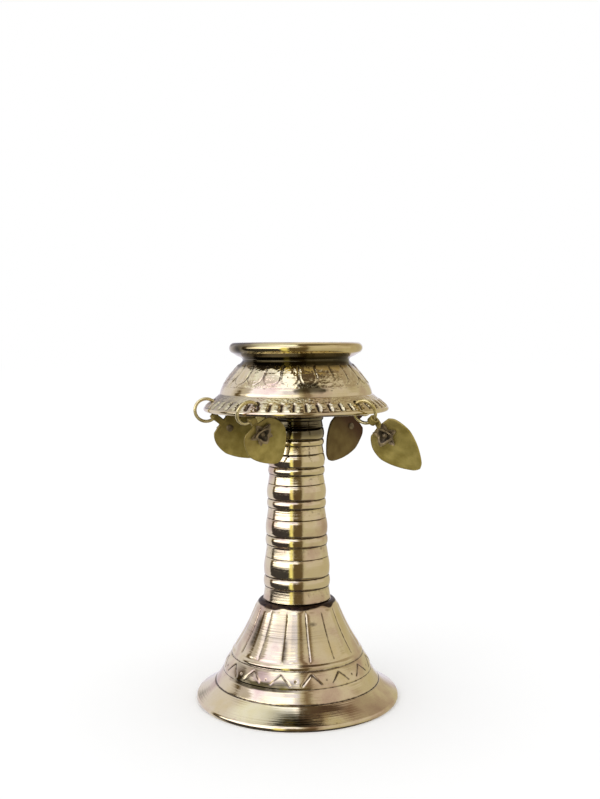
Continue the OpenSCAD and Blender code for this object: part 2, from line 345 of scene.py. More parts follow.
def capped(sections):
    """A row of closed sections with both ends drawn to a point, so that the surface is closed."""
    ends = [np.broadcast_to(sections[k].mean(0), sections[k].shape)[None] for k in (0, -1)]
    return np.concatenate([ends[0], sections, ends[1]])


def new_object(name, data):
    """Puts data into the scene as an object."""
    thing = bpy.data.objects.new(name, data)
    bpy.context.scene.collection.objects.link(thing)
    return thing


def make_piece(name, points, quads, body, node, slot, material, sharp=60, **values):
    """Puts points and quads into a mesh with faces outwards and poles merged, attaches it to its body and
    hides the CAD node.

    The sign of the sum of the quads' cone volumes from the origin tells whether the faces point outwards.
    Corners in one place become one vertex, so a quad at a pole becomes a triangle.
    """
    kept, flat = np.unique(quads, return_inverse=True)
    quads, points = flat.reshape(-1, 4), points.reshape(-1, 3)[kept]
    a, b, c, d = (points[quads[:, k]] for k in range(4))
    if np.sum(np.cross(c - a, d - b) * (a + b + c + d)) < 0:
        quads = quads[:, ::-1]
    _, first, merged = np.unique(np.round(points, 5), axis=0, return_index=True, return_inverse=True)
    corners = merged.reshape(-1)[quads]
    distinct = corners != np.roll(corners, 1, 1)
    count = distinct.sum(1)
    triangles = corners[count == 3][distinct[count == 3]].reshape(-1, 3)
    mesh = bpy.data.meshes.new(name)
    mesh.from_pydata((points[first] * MM).tolist(), [], corners[count == 4].tolist() + triangles.tolist())
    mesh.update()
    mesh.shade_smooth()
    mesh.set_sharp_from_angle(angle=np.radians(sharp))
    for label, value in values.items():
        at_vertices = value.reshape(-1)[kept][first].astype(np.float32)
        mesh.attributes.new(label, "FLOAT", "POINT").data.foreach_set("value", at_vertices)
    mesh.materials.append(material)
    piece = new_object(name, mesh)
    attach(piece, body)
    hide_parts(node)


def turned_piece(name, turned, node, drill=None):
    """A turned piece of the lamp, with its finish and painted shade, the run along its profile and its
    drilled holes.
    """
    points = turned_points(turned.profile, turned.relief).reshape(-1, 3)
    quads = grid_quads(*turned.shape, turned.profile[0, 0] > ON_AXIS)
    if drill is not None:
        quads = drill(turned, points, quads)
    step = np.linalg.norm(np.diff(turned.profile, axis=0), axis=1)
    along = np.broadcast_to(np.r_[0, np.cumsum(step)][:, None], turned.shape)
    make_piece(name, points, quads, "lamp", node, "polished", BRASS, along=along,
               patina=np.clip(turned.patina, 0, 1.2), tarnish=turned.tarnish, stipple=turned.stipple,
               rubbed=turned.rubbed)


# Finishes

def colour(code):
    """Linear RGBA of an sRGB hex colour."""
    srgb = np.array([int(code[k:k + 2], 16) for k in (1, 3, 5)]) / 255
    linear = np.where(srgb <= 0.04045, srgb / 12.92, ((srgb + 0.055) / 1.055) ** 2.4)
    return (*linear.tolist(), 1.0)


def add(tree, kind, inputs=None, stops=(), **settings):
    """Adds a shader node, sets its properties and colour stops, and fills its inputs with values or links."""
    node = tree.nodes.new("ShaderNode" + kind)
    for key, value in settings.items():
        setattr(node, key, value)
    for k, (position, code) in enumerate(stops):
        if k > 1:
            node.color_ramp.elements.new(position)
        node.color_ramp.elements[k].position = position
        node.color_ramp.elements[k].color = colour(code)
    for key, value in (inputs or {}).items():
        if isinstance(value, bpy.types.NodeSocket):
            tree.links.new(value, node.inputs[key])
        else:
            node.inputs[key].default_value = value
    return node


def new_material(name):
    """An empty node material and its tree."""
    material = bpy.data.materials.new(name)
    material.use_nodes = True
    material.node_tree.nodes.clear()
    return material, material.node_tree


def per_mm(size):
    """Texture scale, on coordinates in metres, at which one cell of the pattern is size millimetres."""
    return 1 / (size * MM)


def polished_brass():
    """Cast brass, turned and buffed: pale yellow mirror, fine lathe lines, brown patina in the chasing.

    To the eye: near-white lights, straw middle tones, black-brown lines, and pinkish clouds of tarnish.
    """
    material, tree = new_material("polished_cast_brass")
    place = add(tree, "TexCoord").outputs["Object"]
    patina, tarnish, stipple, rubbed, along = (
        add(tree, "Attribute", attribute_name=name).outputs["Fac"]
        for name in ("patina", "tarnish", "stipple", "rubbed", "along"))
    clouds = add(tree, "TexNoise", {"Vector": place, "Scale": per_mm(14), "Detail": 5.0}).outputs["Fac"]
    specks = add(tree, "TexNoise", {"Vector": place, "Scale": per_mm(1.6), "Detail": 4.0}).outputs["Fac"]
    skin = add(tree, "ValToRGB", {0: clouds}, stops=((0.3, "#DFCF9F"), (0.5, "#E4D7B4"), (0.7, "#E3C8B0")))
    # Where it is handled, the pale skin is rubbed off and the yellow metal shows
    tone = add(tree, "Mix", {0: rubbed, 6: skin.outputs["Color"], 7: colour("#DCCB7E")}, data_type="RGBA")
    # The clouds dull it a little of their own, on top of the tarnish and painted shade
    dimming = add(tree, "MapRange", {"Value": clouds, "From Min": 0.52, "From Max": 0.75, "To Max": 0.3})
    dulled = add(tree, "Math", {0: tarnish, 1: dimming.outputs[0]}, operation="ADD", use_clamp=True)
    # Towards dark olive where the brass is tarnished and where shade and dark reflections are painted
    aged_and_shaded = add(tree, "Mix", {0: dulled.outputs[0], 6: tone.outputs[2], 7: colour("#3E3825")},
               data_type="RGBA")
    # Patina gathers unevenly: the specks break up its edge. The same darkening paints shade under the bowl
    # head.
    uneven = add(tree, "Math", {0: specks, 1: 0.9}, operation="MULTIPLY").outputs[0]
    darkening = add(tree, "Math", {0: patina, 1: uneven}, operation="ADD").outputs[0]
    dark = add(tree, "MapRange", {"Value": darkening, "From Min": 0.62, "From Max": 1.15}).outputs[0]
    tint = add(tree, "ValToRGB", {0: specks}, stops=((0.35, "#241B20"), (0.65, "#52402F")))
    base = add(tree, "Mix", {0: dark, 6: aged_and_shaded.outputs[2], 7: tint.outputs["Color"]}, data_type="RGBA")
    rough = add(tree, "MapRange",
                {"Value": darkening, "From Min": 0.3, "From Max": 1.4, "To Min": 0.05, "To Max": 0.42})
    # About one lathe line to the millimetre, coarser than real so that they show
    lines = add(tree, "TexNoise", {"W": along, "Scale": 1.1, "Detail": 3.0}, noise_dimensions="1D")
    turned_bump = add(tree, "Bump", {"Height": lines.outputs["Fac"], "Strength": 0.2, "Distance": 0.3 * MM})
    # Punch marks a little over a millimetre wide on the stippled ground
    pits = add(tree, "TexVoronoi", {"Vector": place, "Scale": per_mm(1.1)}, feature="F1")
    pit_depth = add(tree, "Math", {0: pits.outputs["Distance"], 1: stipple}, operation="MULTIPLY")
    bump = add(tree, "Bump",
               {"Height": pit_depth.outputs[0], "Strength": 0.55, "Distance": 0.5 * MM,
                "Normal": turned_bump.outputs[0]})
    shader = add(tree, "BsdfPrincipled",
                 {"Base Color": base.outputs[2], "Metallic": 1.0, "Roughness": rough.outputs[0],
                  "Normal": bump.outputs[0]})
    add(tree, "OutputMaterial", {"Surface": shader.outputs[0]})
    return material


def mottled_brass(name, dark_tone, light_tone, aged_and_shaded_tone, mottle, roughness, grain, metal):
    """Unpolished brass: a mottle between two tones, and a fine grain in gloss and relief.

    Mottle and grain are in millimetres. Where a dull skin covers the brass, metal is below 1. Tarnish and
    painted shade take the tone towards the aged and shaded one.
    """
    material, tree = new_material(name)
    place = add(tree, "TexCoord").outputs["Object"]
    tarnish = add(tree, "Attribute", attribute_name="tarnish").outputs["Fac"]
    spots = add(tree, "TexNoise", {"Vector": place, "Scale": per_mm(mottle), "Detail": 6.0})
    fine = add(tree, "TexNoise", {"Vector": place, "Scale": per_mm(grain), "Detail": 3.0})
    tone = add(tree, "ValToRGB", {0: spots.outputs["Fac"]}, stops=((0.33, dark_tone), (0.66, light_tone)))
    base = add(tree, "Mix", {0: tarnish, 6: tone.outputs["Color"], 7: colour(aged_and_shaded_tone)}, data_type="RGBA")
    rough = add(tree, "MapRange",
                {"Value": fine.outputs["Fac"], "To Min": roughness - 0.08, "To Max": roughness + 0.1})
    bump = add(tree, "Bump", {"Height": fine.outputs["Fac"], "Strength": 0.18, "Distance": 0.3 * MM})
    shader = add(tree, "BsdfPrincipled",
                 {"Base Color": base.outputs[2], "Metallic": metal, "Roughness": rough.outputs[0],
                  "Normal": bump.outputs[0]})
    add(tree, "OutputMaterial", {"Surface": shader.outputs[0]})
    return material


BRASS = polished_brass()
# Drawn wire: a soft yellow shine with the faint dullness of handling
WIRE = mottled_brass("drawn_brass_wire", "#C4B272", "#E2D5A6", "#1E1810",
                     mottle=3.0, roughness=0.24, grain=0.5, metal=0.8)
# Rolled sheet, cut and left satin: olive yellow with cloudy stains, brown where it has aged and where shade
# is painted
SHEET = mottled_brass("satin_brass_sheet", "#8E7D38", "#B5A359", "#452707",
                      mottle=5.0, roughness=0.4, grain=0.7, metal=0.5)
# Cast and never polished: grey-brown, with painted shade making it darkest in the hollows
CAST = mottled_brass("dull_cast_brass", "#6A5B42", "#A8946F", "#1E1810",
                     mottle=2.2, roughness=0.42, grain=0.6, metal=0.6)


# Foot

def bell_r(z):
    """Radius of the bell's straight cone at a height."""
    return mix(BELL_LOW[0], BELL_HIGH[0], (z - BELL_LOW[1]) / (BELL_HIGH[1] - BELL_LOW[1]))


def foot_zones():
    """Stretches of the foot's profile: from the stem's seat down the outside and back up the inside.

    The band swells by half a sine wave over its height. The flange's rows lie closer where it is turned.
    """
    share = np.linspace(1, 0, 28)
    band_z = FLANGE_H + BAND_H * share
    ridge_mid = RIDGE_Z + RIDGE_H / 2
    web_z = FOOT_H - SEAT_T
    inner_r = bell_r(np.array([web_z, FLANGE_H])) - FOOT_WALL
    flange = bend((BELL_LOW[0] + 0.5, FLANGE_H - 0.4),
                  (mix(BELL_LOW[0], FOOT_R, 0.25), mix(RIM_H, FLANGE_H, 0.45)),
                  (FOOT_R - RIM_INSET - 0.2, RIM_H + 0.1), 73)
    return dict(
        seat=run((SOCKET_R, FOOT_H), (SEAT_R - 0.4, FOOT_H), 5),
        shoulder=bend((SEAT_R, FOOT_H), (mix(SEAT_R, BELL_HIGH[0], 0.55), FOOT_H - 0.4), BELL_HIGH, 12),
        cone=run(BELL_HIGH, (bell_r(RIDGE_TOP), RIDGE_TOP), 46)[1:],
        ridge=bend((bell_r(RIDGE_TOP) + 0.02, RIDGE_TOP - 0.05),
                   (bell_r(ridge_mid) + 2 * RIDGE_PROUD, ridge_mid),
                   (bell_r(RIDGE_Z + 0.1), RIDGE_Z + 0.1), 9),
        band=np.stack([bell_r(band_z) + BAND_SWELL * np.sin(np.pi * share), band_z], 1),
        flange=flange[np.r_[0:36, 36:73:2]],
        rim=bend((FOOT_R - RIM_INSET, RIM_H), (FOOT_R + RIM_INSET, RIM_H * 0.45),
                 (FOOT_R - RIM_INSET, 0), 12),
        under=run((FOOT_R - RIM_INSET - 0.4, 0), (FOOT_R - RIM_W, 0), 3),
        inside=np.vstack([run((FOOT_R - RIM_W - 0.6, RIM_H / 2), (inner_r[1] + 1, FLANGE_H - FOOT_WALL), 6),
                          run((inner_r[1], FLANGE_H), (inner_r[0], web_z), 5)]),
        web=run((inner_r[0] - 0.4, web_z), (SOCKET_R, web_z), 3))


def chase_petals(foot):
    """Petals round the bell: a line between neighbours, a pillow over each and a hollow down the cone.

    A pillow is a stretch of cosine across its petal, and the hollow half a sine wave down the cone.
    Lines and pillows fade out at both ends.
    """
    bell = foot.zone("shoulder", "cone")
    z = foot.z[bell]
    reach = smooth(RIDGE_TOP + 0.2, RIDGE_TOP + 1.4, z) * (1 - smooth(FOOT_H - 3.6, FOOT_H - 1.8, z))
    pillow = np.cos(np.radians(nearest(foot.angle, PETALS, PETAL_TURN + 0.5)) * PETALS / 2) * reach
    hollow = np.sin(np.pi * np.clip((BELL_HIGH[1] - z) / (BELL_HIGH[1] - RIDGE_TOP), 0, 1))
    foot.relief[bell] += PETAL_PILLOW * pillow - CONE_HOLLOW * hollow
    line = groove(foot.across(bell, PETALS, PETAL_TURN), PETAL_LINE_W) * reach
    foot.chase(bell, line, CHASE_DEPTH, CHASE_DARK)


def chase_band(foot):
    """Chevrons on the band with a dot between neighbours, which it gives back, and a line along each edge.

    A chevron is two slanted strokes from its apex. A stroke's depth falls with the distance from the nearest
    point of its middle line, which is a share t of the way down it.
    """
    band = foot.zone("band")
    up = foot.z[band] - FLANGE_H
    below = CHEVRON_TOP - up
    side = np.abs(foot.across(band, PETALS, PETAL_TURN))
    t = (side * CHEVRON_HALF + below * CHEVRON_DROP) / (CHEVRON_HALF ** 2 + CHEVRON_DROP ** 2)
    t = np.clip(t, 0.06, 1)
    stroke = groove(np.hypot(side - CHEVRON_HALF * t, below - CHEVRON_DROP * t), CHEVRON_LINE_W)
    dot = groove(np.hypot(foot.across(band, PETALS, PETAL_TURN + 0.5), up - DOT_UP), DOT_R)
    chased = np.maximum(stroke, dot)
    foot.chase(band, chased, CHASE_DEPTH, CHASE_DARK)
    for z in BAND_LINES:
        foot.chase(band, groove(foot.z[band] - z, BAND_LINE_W), BAND_LINE_DEPTH, BAND_LINE_DARK)
    return chased


def turn_flange(foot):
    """A collar beside the bell that swells by half a sine wave, and two turned lines round the flange."""
    flange = foot.zone("flange")
    r = foot.r[flange]
    share = np.clip((r - COLLAR_START) / (COLLAR_END - COLLAR_START), 0, 1)
    foot.relief[flange] += COLLAR_SWELL * np.sin(np.pi * share)
    for line_r, width, depth in FLANGE_LINES:
        foot.chase(flange, groove(r - line_r, width), depth, CHASE_DARK)


def darken_bell(foot):
    """On the bell: a ragged ring of old polish at its top and a smear, and painted dark reflections as a
    streaky belt and two streaks.
    """
    bell, cone = foot.zone("shoulder", "cone"), foot.zone("cone")
    z = foot.z[bell]
    seam = FOOT_H - 1.1 - 0.7 * hammered((1, foot.shape[1]), (1, 20), seed=3)
    smear = groove(np.hypot(foot.away(SMEAR_ANGLE) * 0.15, z - FOOT_H + SMEAR_DROP), 1.0)
    foot.patina[bell] += 1.2 * smooth(seam - 0.6, seam + 0.4, z) + 0.5 * smear
    foot.patina[foot.zone("seat")] = 1.0
    # Painted dark reflections on the cone: a streaky belt round its middle and two streaks down it
    streaks = np.clip(0.6 + 0.8 * hammered(foot.shape, (1, 160), seed=17), 0, 1.2)[cone]
    level = groove(foot.z[cone] - mix(RIDGE_TOP, FOOT_H, 0.5), BELT_W)
    belt = level * groove(foot.away(BELT_ANGLE), BELT_SPREAD)
    up = (foot.z[cone] - RIDGE_TOP) / (FOOT_H - RIDGE_TOP)
    streak_masks = [groove(foot.away(angle), width)
             * smooth(low - 0.1, low + 0.1, up) * (1 - smooth(high - 0.12, high + 0.12, up))
             for angle, width, low, high in REFLECTION_STREAKS]
    streaked = 0.85 * np.maximum(*streak_masks) * (0.75 + 0.25 * streaks)
    foot.tarnish[cone] = np.maximum(0.6 * belt * streaks, streaked)


def darken_band(foot, chased):
    """Low on the foot: painted dark reflections as blotches and a low band between the chevrons and as a
    patch on the flange, and a dull inside.
    """
    band, flange = foot.zone("band"), foot.zone("flange")
    # Painted dark reflections: blotches round one angle and a low band between the chevrons
    ragged = hammered(foot.shape, (7, 10), seed=13)[band]
    blotch = groove(foot.away(BLOTCH_ANGLE), 20) * smooth(-0.6, 0.3, ragged)
    low = 1 - smooth(FLANGE_H + 2.8, FLANGE_H + 4.8, foot.z[band] + 0.7 * ragged)
    low_reflection = low * (1 - smooth(16, 36, np.abs(foot.away(BELT_ANGLE))))
    foot.tarnish[band] = np.maximum(0.5 * blotch, 0.9 * low_reflection) * (1 - chased)
    foot.patina[band] *= 1 - 0.8 * low_reflection
    # Painted dark reflection: a patch on the flange
    dimming = groove(foot.away(FLANGE_REFLECTION_ANGLE), 11) * smooth(FOOT_R - 8.5, FOOT_R - 6, foot.r[flange])
    foot.tarnish[flange] = 0.55 * dimming
    foot.patina[foot.zone("inside", "web")] = 0.45


def make_foot():
    """Bell on a flange: a closed profile turned round, with petals, chevrons and lines chased into it."""
    foot = Turned(PETALS * PETAL_COLUMNS, **foot_zones())
    chase_petals(foot)
    chased = chase_band(foot)
    turn_flange(foot)
    darken_bell(foot)
    darken_band(foot, chased)
    turned_piece("foot_turned", foot, "foot")


# Stem

def rib_section():
    """One section of the stem from its top down: each point's share of the height, relief and darkness.

    A convex band and a ring, each half a sine wave, and a cove that eases out come one below the other,
    with a V-shaped groove under each.
    """
    cut, cut_dark = np.array([-0.7, -1.0, -0.7]), np.array([0.4, 0.85, 0.4])
    eased = np.linspace(0, 1, 8) ** 1.4
    stretches = (
        (np.linspace(0.02, 0.4, 9), 0.6 * np.sin(np.pi * np.linspace(0, 1, 9)) - 0.15, np.zeros(9)),
        (np.linspace(0.415, 0.445, 3), cut, cut_dark),
        (np.linspace(0.46, 0.65, 7), 0.42 * np.sin(np.pi * np.linspace(0, 1, 7)) - 0.3, np.zeros(7)),
        (np.linspace(0.66, 0.68, 3), cut, cut_dark),
        (np.linspace(0.69, 0.97, 8), 0.75 * eased - 1.0, 0.2 * (1 - eased)),
        (np.linspace(0.978, 0.992, 3), cut, cut_dark))
    share, relief, dark = (np.concatenate(column) for column in zip(*stretches))
    return share, relief * GROOVE_DEPTH, dark


def make_stem():
    """Ribbed stem: turned sections, each taller than the last by an even step, on a flare.

    The flare's radius grows with a power of the share of the way down.
    """
    share, relief, dark = rib_section()
    growth = 1 + TURNING_GROWTH * np.arange(TURNINGS)[:, None]
    depth = (HUB_Z - FOOT_H) * growth / growth.sum()
    top = HUB_Z - np.cumsum(depth)[:, None] + depth
    z = (top - depth * share).reshape(-1)
    flare = mix(STEM_TOP_R, STEM_FOOT_R, ((HUB_Z - z) / (HUB_Z - FOOT_H)) ** FLARE_POWER)
    stem = Turned(
        STEM_COLUMNS,
        spigot=np.vstack([run((CORE_R, HUB_Z + UPPER_SPIGOT), (SPIGOT_R, HUB_Z + UPPER_SPIGOT), 3),
                          run((SPIGOT_R, HUB_Z + 0.02), (STEM_TOP_R - 0.3, HUB_Z - 0.02), 3)]),
        ribs=np.stack([flare + np.tile(relief, TURNINGS), z], 1),
        seat=np.vstack([run((STEM_FOOT_R - 0.1, FOOT_H + 0.02), (SPIGOT_R, FOOT_H + 0.02), 3),
                        run((SPIGOT_R, FOOT_H - SEAT_T), (CORE_R, FOOT_H - SEAT_T), 2)]))
    ribs = stem.zone("ribs")
    stem.relief[ribs] = WAVER * hammered(stem.shape, (14, 24), seed=11)[ribs]
    # The seam with the foot is as dark as the grooves, and painted shade darkens the stem under the canopy
    seam = 1 - smooth(FOOT_H + 0.1, FOOT_H + 1.0, stem.z[ribs])
    stem.patina[ribs] = np.tile(dark, TURNINGS)[:, None] + seam
    stem.tarnish[ribs] = 0.85 * smooth(HUB_Z - 17, HUB_Z - 12, stem.z[ribs])
    turned_piece("stem_ribbed", stem, "stem")


# Bowl head

def canopy_line():
    """Middle of the canopy's rounded edge, the slope of the canopy, and its directions down and out."""
    low = np.array([FILLET_R + 1.4, FILLET_Z - FILLET_H])
    edge = np.array([CANOPY_R - HEAD_WALL / 2, span("bowl_head")[0][2] + HEAD_WALL / 2])
    way = edge - low
    slope = -np.arctan2(way[1], way[0]) - np.arcsin(HEAD_WALL / 2 / np.hypot(*way))
    return edge, slope, np.array([np.cos(slope), -np.sin(slope)]), np.array([np.sin(slope), np.cos(slope)])


EDGE, SLOPE, DOWN, OUT = canopy_line()
CANOPY_INSET = np.arange(CANOPY_ROWS)[:, None] * ROW_PITCH


def engraved(radius):
    """Three points across a fine V cut into the floor of the bowl."""
    return [(radius - CIRCLE_W / 2, BOWL_Z), (radius, BOWL_Z - CIRCLE_W), (radius + CIRCLE_W / 2, BOWL_Z)]


def head_zones():
    """Stretches of the bowl head's profile: from the middle of the bowl over lip and canopy to the hub."""
    degrees_out = 90 - np.degrees(SLOPE)
    low = np.array([FILLET_R, FILLET_Z])
    middle = np.array([mix(NECK_R, FILLET_R, 0.64), mix(NECK_Z, FILLET_Z, 0.52)])
    high = np.array([NECK_R + 1.2, NECK_Z - 1.6])
    inner = bend(low, middle, high, 9) - OUT * HEAD_WALL
    inner = inner[inner[:, 1] < UNDER_Z - 0.4]
    return dict(
        mark=np.array([(0, BOWL_Z - 0.8), (0.35, BOWL_Z - 0.5), (0.8, BOWL_Z + 0.06), (1.2, BOWL_Z)]),
        floor=np.vstack([run((3, BOWL_Z), (CIRCLE_R - 0.6, BOWL_Z), 5), engraved(CIRCLE_R),
                         run((CIRCLE_R + 0.8, BOWL_Z), (FLOOR_R - 0.6, BOWL_Z), 3), engraved(FLOOR_R)]),
        wall=bend((FLOOR_R + CIRCLE_W, BOWL_Z + 0.1), (NECK_R - HEAD_WALL - 0.2, BOWL_Z + 2),
                  (LIP_R - LIP_H * 0.55, LIP_Z - 0.7), 17),
        lip=arc((LIP_R - LIP_H / 2, LIP_Z - LIP_H / 2), LIP_H / 2, 102, -75, 18),
        neck=bend((NECK_R + 2.4, NECK_Z + 1.9), (NECK_R - 1.1, NECK_Z + 0.8),
                  (NECK_R + 0.4, NECK_Z - 0.8), 7),
        shoulder=bend(high, middle, low, SHOULDER_ROWS),
        fillet=bend((FILLET_R + 0.15, FILLET_Z - 0.3), (FILLET_R + 1.0, FILLET_Z - FILLET_H / 2),
                    (FILLET_R + 1.35, FILLET_Z - FILLET_H + 0.3), 8),
        canopy=(EDGE + OUT * HEAD_WALL / 2 - CANOPY_INSET * DOWN)[::-1],
        edge=arc(EDGE, HEAD_WALL / 2, degrees_out, degrees_out - 180, 9)[1:-1],
        under=EDGE - OUT * HEAD_WALL / 2 - CANOPY_INSET * DOWN,
        inside=np.vstack([inner[::2], [(NECK_R - 2, UNDER_Z)], [(STEM_TOP_R + 0.8, UNDER_Z)]]),
        hub=np.array([(STEM_TOP_R, UNDER_Z - 0.8), (STEM_TOP_R, HUB_Z + 0.5), (STEM_TOP_R - 0.3, HUB_Z),
                      (SOCKET_R, HUB_Z), (SOCKET_R, SOCKET_TOP), (0, SOCKET_TOP)]))


def chase_shoulder(head, dents, coarse):
    """Upright tongues with rounded lower ends, outlined by dark grooves on a hammered ground.

    A tongue's half width, as a share of its step round, falls along a quarter of an ellipse from the bend
    to the end. Inside is the distance from its outline in millimetres, positive within the tongue.
    """
    shoulder = head.zone("shoulder")
    dents, coarse = dents[shoulder], coarse[shoulder]
    t = np.linspace(0, 1, SHOULDER_ROWS)[:, None]
    past_bend = np.clip(t - TONGUE_BEND, 0, None) / (TONGUE_END - TONGUE_BEND)
    half = TONGUE_HALF * np.sqrt(np.clip(1 - past_bend ** 2, 0, 1))
    wander = 0.9 * hammered((SHOULDER_ROWS, head.shape[1]), (12, 24), seed=21)
    side = np.abs(nearest(head.angle + wander, TONGUES)) * TONGUES / 360
    inside = (half - side) * 2 * np.pi * head.r[shoulder] / TONGUES
    inside = np.where(t > TONGUE_END, -(t - TONGUE_END) * SHOULDER_RUN - 0.4, inside)
    raised = smooth(-0.3, 0.5, inside)
    outline = groove(inside, OUTLINE_W) * smooth(0.02, 0.08, t) * (0.65 + 0.35 * coarse)
    hammering = FINE_DENT * dents + BROAD_DENT * coarse
    fade = smooth(0, 0.06, t) * (1 - smooth(0.95, 1, t))
    head.relief[shoulder] = (TONGUE_RISE * raised - OUTLINE_DEPTH * outline + hammering) * fade
    head.patina[shoulder] = 0.9 * outline
    head.stipple[shoulder] = 0.25 + 0.2 * (1 - raised)


def chase_canopy(head, dents):
    """Notches between the lobes and a bead over each lobe, on a stippled ground with a plain rim.

    A notch is half an ellipse across and a bead a stretch of cosine. Depth is the distance up the canopy
    from its outermost line. The relief stays clear of the ring holes.
    """
    canopy = head.zone("canopy")
    dents, r = dents[canopy], head.r[canopy]
    depth = (CANOPY_INSET + HEAD_WALL / 2)[::-1]
    across = head.across(canopy, LOBES, 0.5)
    lobe_end = LOBE_RIM + LOBE_L
    length = smooth(LOBE_RIM, LOBE_RIM + 0.7, depth) * (1 - smooth(lobe_end - 0.6, lobe_end + 0.3, depth))
    notch = np.sqrt(np.clip(1 - (across / (LOBE_NOTCH / 2 + 0.15)) ** 2, 0, 1)) * length
    bead = np.cos(np.radians(nearest(head.angle, LOBES)) * LOBES / 2) * length
    above_rim = smooth(LOBE_RIM + 0.4, LOBE_RIM + 2.0, depth)
    ground = above_rim * (1 - smooth(GROUND_END - 0.4, GROUND_END + 0.4, depth))
    from_hole = np.min([np.hypot(np.radians(head.away(angle)) * r, depth - HEAD_WALL / 2 - HOLE_INSET)
                        for angle in hole_angles()], 0)
    clear = smooth(RING_HOLE_R + 0.7, RING_HOLE_R + 1.4, from_hole)
    head.relief[canopy] = (LOBE_BEAD * bead - NOTCH_DEPTH * notch + GROUND_DENT * dents * ground) * clear
    darkening = 0.75 * groove(across, 0.42) * length + 0.25 * notch
    head.patina[canopy] = np.clip(darkening + 0.2 * smooth(-0.1, 0.9, -dents) * ground, 0, 1)
    head.stipple[canopy] = 0.5 * ground


def darken_head(head, ragged):
    """On the bowl head: painted shade in the neck and underneath, lip and canopy darker round one angle, a
    painted dark reflection on the fillet.

    The painted dark reflection is a ragged patch round one angle, across the joint of shoulder and fillet.
    """
    shoulder, fillet = head.zone("shoulder"), head.zone("fillet")
    t = np.linspace(0, 1, SHOULDER_ROWS)[:, None]
    # Painted dark reflection: a ragged dark patch round one angle
    dark_patch = 0.85 * smooth(-0.15, 0.2, 0.6 * ragged - 0.85 + 1.3 * groove(head.away(DARK_PATCH_ANGLE), 14))
    # Painted shade at the top of the shoulder under the lip, and the painted dark reflection low on it
    head.tarnish[shoulder] = 0.9 * (1 - smooth(0, 0.3, t)) + smooth(0.76, 0.86, t) * dark_patch[shoulder]
    fade = 1 - smooth(0.3, 0.8, np.linspace(0, 1, len(dark_patch[fillet])))
    head.tarnish[fillet] = dark_patch[fillet] * fade[:, None]
    head.patina[fillet.start] = 0.3
    # Lip and canopy are darker round one angle
    dark_side = groove(head.away(DARK_SIDE_ANGLE), 28)
    head.tarnish[head.zone("lip")] = 0.75 * dark_side
    head.rubbed[head.zone("lip")] = 0.45
    head.tarnish[head.zone("canopy")] = 0.4 * dark_side
    # Painted shade in the neck under the lip
    head.tarnish[head.zone("neck")] = np.array([0.1, 0.3, 0.6, 0.8, 0.95, 1.0, 0.95])[:, None]
    head.patina[head.zone("floor")] = 1.2 * (head.z[head.zone("floor")] < BOWL_Z)
    head.patina[head.zone("mark")][:2] = 1.0
    # Painted shade: the canopy's underside and the hub are darkened
    head.patina[head.zone("under", "hub")] = 0.85


def drill_holes(head, points, quads):
    """Opens the ring holes: leaves out a block of quads on both faces, and walls the hole between them.

    The block's border moves onto the hole's circle, each point at its own bearing from the middle.
    """
    columns = head.shape[1]
    index = np.arange(len(points)).reshape(head.shape)
    block = np.arange(-HOLE_BLOCK, HOLE_BLOCK + 1)
    side, end = block[:-1], np.full(2 * HOLE_BLOCK, HOLE_BLOCK)
    border_up = np.concatenate([-end, side, end, -side])
    border_round = np.concatenate([side, end, -side, -end])
    reach = RING_HOLE_R / np.hypot(border_up, border_round)
    for angle in hole_angles():
        middle = round(angle / 360 * columns)
        radial = np.array([np.cos(np.radians(angle)), np.sin(np.radians(angle)), 0])
        tangent = np.cross(UP, radial)
        centre, down, out = (way[0] * radial + way[1] * UP for way in (EDGE - HOLE_INSET * DOWN, DOWN, OUT))
        circle = np.outer(border_round * reach, tangent) - np.outer(border_up * reach, down)
        rims = []
        for face, first, step in ((1, head.zone("canopy").stop - 1, -1), (-1, head.zone("under").start, 1)):
            left_out = index[np.ix_(first + step * (HOLE_ROW + block), (middle + block) % columns)]
            quads = quads[~np.isin(quads, left_out).all(1)]
            rim = index[first + step * (HOLE_ROW + border_up), (middle + border_round) % columns]
            points[rim] = centre + face * out * HEAD_WALL / 2 + circle
            rims.append(rim)
        upper, lower = rims
        quads = np.vstack([quads, np.stack([lower, np.roll(lower, -1), np.roll(upper, -1), upper], 1)])
    return quads


def make_bowl_head():
    """Lip, bowl, shoulder and canopy turned round, with tongues, lobes and stipple, and ring holes."""
    head = Turned(LOBES * LOBE_COLUMNS, **head_zones())
    dents = hammered(head.shape, (3, 4), seed=5)
    coarse = hammered(head.shape, (6, 8), seed=9)
    chase_shoulder(head, dents, coarse)
    chase_canopy(head, dents)
    darken_head(head, coarse + dents)
    turned_piece("bowl_head_turned", head, "bowl_head", drill_holes)


# Pendants

def ring_frame(i):
    """Middle of a ring and its axes: X away from the lamp, Y across the ring, Z up, read from the joints.

    A ring tilts about the line from hole to edge, which ring 1's axis shows to fall by the canopy's slope.
    """
    chord = np.array(joints[f"ring_{i}_tilt"]["axis"])
    across = -np.array(joints[f"leaf_{i}_swing"]["axis"])
    slope = -np.arcsin(joints["ring_1_tilt"]["axis"][2])
    away = np.cos(slope) * chord + np.sin(slope) * np.cross(chord, across)
    return np.array(joints[f"ring_{i}_tilt"]["pos_m"]) / MM, np.stack([away, across, np.cross(away, across)])


def hole_angles():
    """Angles round the lamp of the ring holes, each a ring's radius up the tilt axis from its middle."""
    tilts = [joints[f"ring_{i}_tilt"] for i in PENDANTS]
    middles = np.array([tilt["pos_m"] for tilt in tilts]) / MM
    holes = middles - RING_R * np.array([tilt["axis"] for tilt in tilts])
    return np.degrees(np.arctan2(holes[:, 1], holes[:, 0])) % 360


